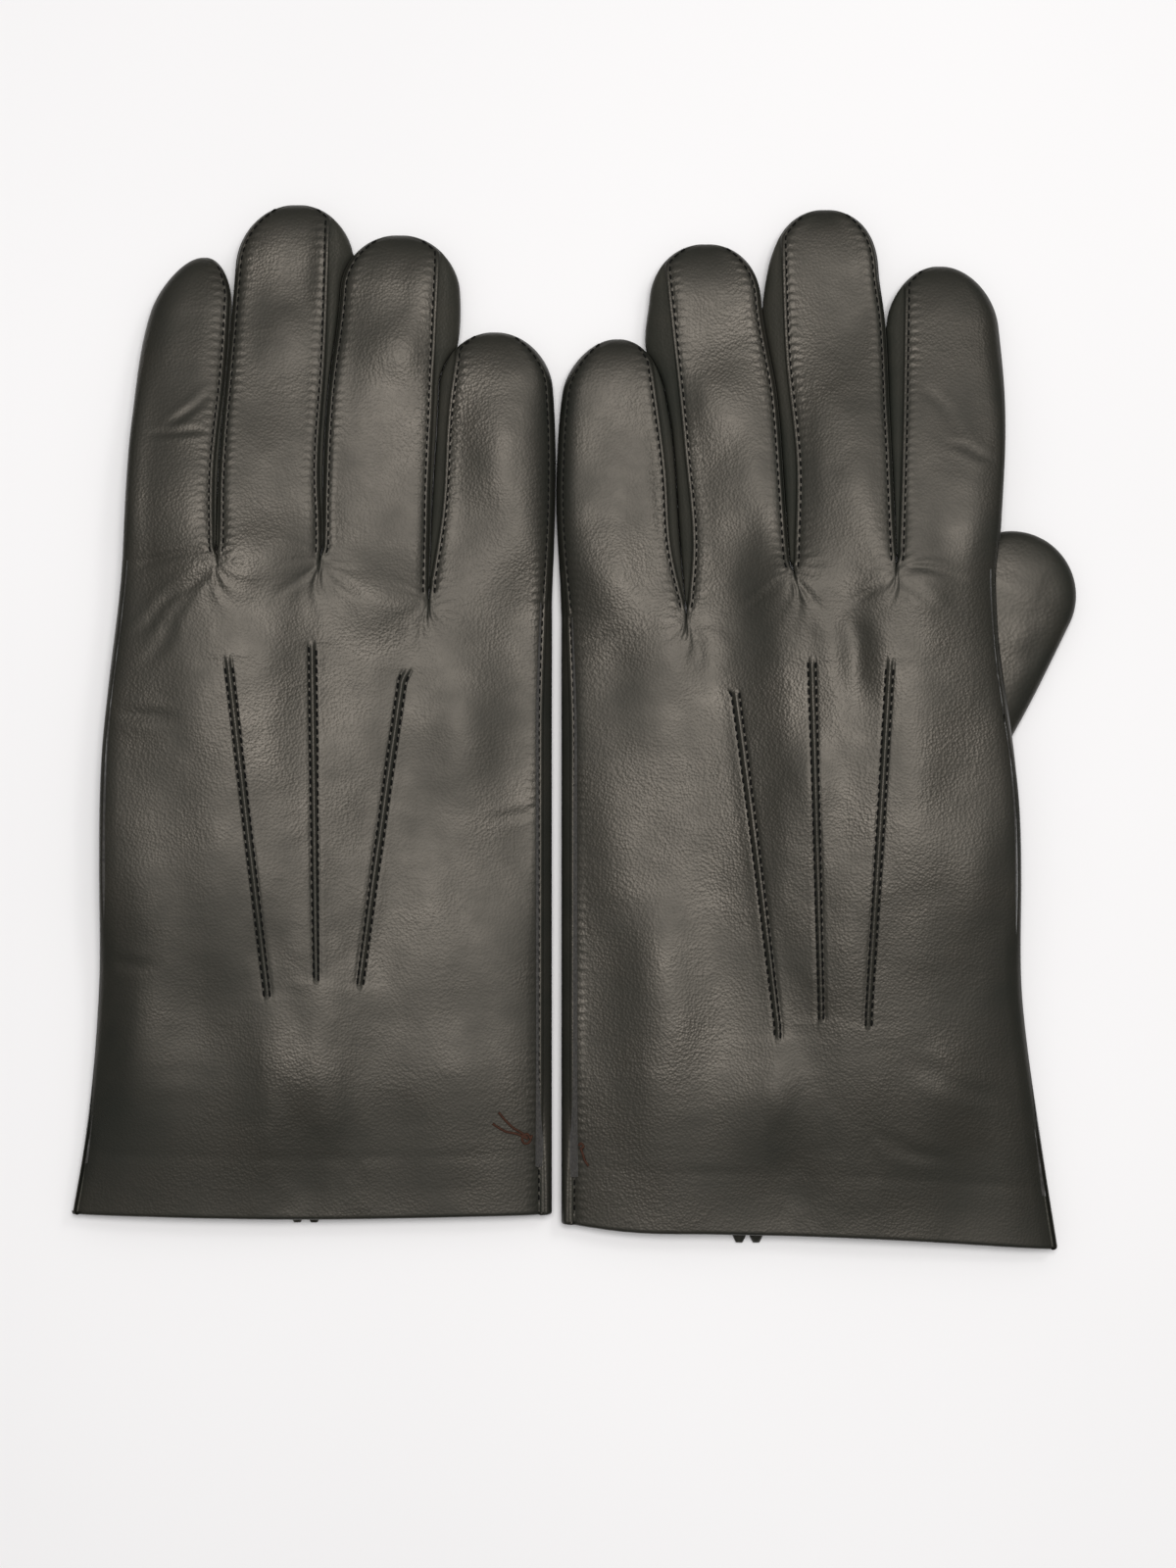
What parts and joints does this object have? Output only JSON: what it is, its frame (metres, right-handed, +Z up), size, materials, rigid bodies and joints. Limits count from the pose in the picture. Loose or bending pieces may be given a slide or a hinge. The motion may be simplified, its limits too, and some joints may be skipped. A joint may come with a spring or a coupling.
{
  "type": "pair of leather gloves",
  "caption": "Pair of men's lined dress gloves in dark leather, laid palm down side by side, with stitched ridges on the back, fourchettes and a turned cuff.",
  "frame": {"origin": "middle of the pair's footprint, on the table", "axes": "+X towards the left-hand glove's thumb, +Y towards the fingertips, +Z up from the table"},
  "size_m": [0.248, 0.2558, 0.0218],
  "materials": {
    "glove_leather": "soft black glove leather with a low sheen",
    "edge_leather": "the same leather, a little more matt",
    "knitted_lining": "fine dark knit",
    "stitching": "black thread over a raised ridge",
    "pairing_thread": "brown cotton thread"
  },
  "bodies": {
    "right_hand": {"right_trank": "glove_leather", "right_hand_lining": "knitted_lining", "right_cuff_hem": "glove_leather", "right_vent_binding": "edge_leather", "right_point_1": "stitching", "right_point_2": "stitching", "right_point_3": "stitching", "right_pairing_thread": "pairing_thread"},
    "right_little": {"right_little_finger": "glove_leather", "right_little_fourchette_index_side": "edge_leather", "right_little_lining": "knitted_lining"},
    "right_ring": {"right_ring_finger": "glove_leather", "right_ring_fourchette_little_side": "edge_leather", "right_ring_fourchette_index_side": "edge_leather", "right_ring_lining": "knitted_lining"},
    "right_middle": {"right_middle_finger": "glove_leather", "right_middle_fourchette_little_side": "edge_leather", "right_middle_fourchette_index_side": "edge_leather", "right_middle_lining": "knitted_lining"},
    "right_index": {"right_index_finger": "glove_leather", "right_index_fourchette_little_side": "edge_leather", "right_index_lining": "knitted_lining"},
    "right_thumb": {"right_thumb": "glove_leather", "right_thumb_lining": "knitted_lining"},
    "left_hand": {"left_trank": "glove_leather", "left_hand_lining": "knitted_lining", "left_cuff_hem": "glove_leather", "left_vent_binding": "edge_leather", "left_point_1": "stitching", "left_point_2": "stitching", "left_point_3": "stitching", "left_pairing_thread": "pairing_thread"},
    "left_little": {"left_little_finger": "glove_leather", "left_little_fourchette_index_side": "edge_leather", "left_little_lining": "knitted_lining"},
    "left_ring": {"left_ring_finger": "glove_leather", "left_ring_fourchette_little_side": "edge_leather", "left_ring_fourchette_index_side": "edge_leather", "left_ring_lining": "knitted_lining"},
    "left_middle": {"left_middle_finger": "glove_leather", "left_middle_fourchette_little_side": "edge_leather", "left_middle_fourchette_index_side": "edge_leather", "left_middle_lining": "knitted_lining"},
    "left_index": {"left_index_finger": "glove_leather", "left_index_fourchette_little_side": "edge_leather", "left_index_lining": "knitted_lining"},
    "left_thumb": {"left_thumb": "glove_leather", "left_thumb_lining": "knitted_lining"}
  },
  "joints": [
    {"name": "right_little_curl", "type": "hinge", "parent": "right_hand", "child": "right_little", "pos_m": [-0.0197, 0.05854, 0.0002], "axis": [-1, 0, 0], "range_deg": [0, 80]},
    {"name": "right_ring_curl", "type": "hinge", "parent": "right_hand", "child": "right_ring", "pos_m": [-0.0474, 0.05854, 0.0002], "axis": [-1, 0, 0], "range_deg": [0, 80]},
    {"name": "right_middle_curl", "type": "hinge", "parent": "right_hand", "child": "right_middle", "pos_m": [-0.0734, 0.05854, 0.003], "axis": [-1, 0, 0], "range_deg": [0, 80]},
    {"name": "right_index_curl", "type": "hinge", "parent": "right_hand", "child": "right_index", "pos_m": [-0.0986, 0.05854, 0.0097], "axis": [-1, 0, 0], "range_deg": [0, 80]},
    {"name": "right_thumb_swing", "type": "hinge", "parent": "right_hand", "child": "right_thumb", "pos_m": [-0.091, -0.01866, 0.0046], "axis": [0, 0, 1], "range_deg": [0, 45]},
    {"name": "gloves_apart", "type": "slide", "parent": "right_hand", "child": "left_hand", "axis": [1, 0, 0], "range_m": [0, 0.15]},
    {"name": "left_little_curl", "type": "hinge", "parent": "left_hand", "child": "left_little", "pos_m": [0.0106, 0.05584, 0.0002], "axis": [-1, 0, 0], "range_deg": [0, 80]},
    {"name": "left_ring_curl", "type": "hinge", "parent": "left_hand", "child": "left_ring", "pos_m": [0.0383, 0.05584, 0.0002], "axis": [-1, 0, 0], "range_deg": [0, 80]},
    {"name": "left_middle_curl", "type": "hinge", "parent": "left_hand", "child": "left_middle", "pos_m": [0.0643, 0.05584, 0.003], "axis": [-1, 0, 0], "range_deg": [0, 80]},
    {"name": "left_index_curl", "type": "hinge", "parent": "left_hand", "child": "left_index", "pos_m": [0.0895, 0.05584, 0.0097], "axis": [-1, 0, 0], "range_deg": [0, 80]},
    {"name": "left_thumb_swing", "type": "hinge", "parent": "left_hand", "child": "left_thumb", "pos_m": [0.0819, -0.02136, 0.0046], "axis": [0, 0, -1], "range_deg": [-26, 19]}
  ]
}
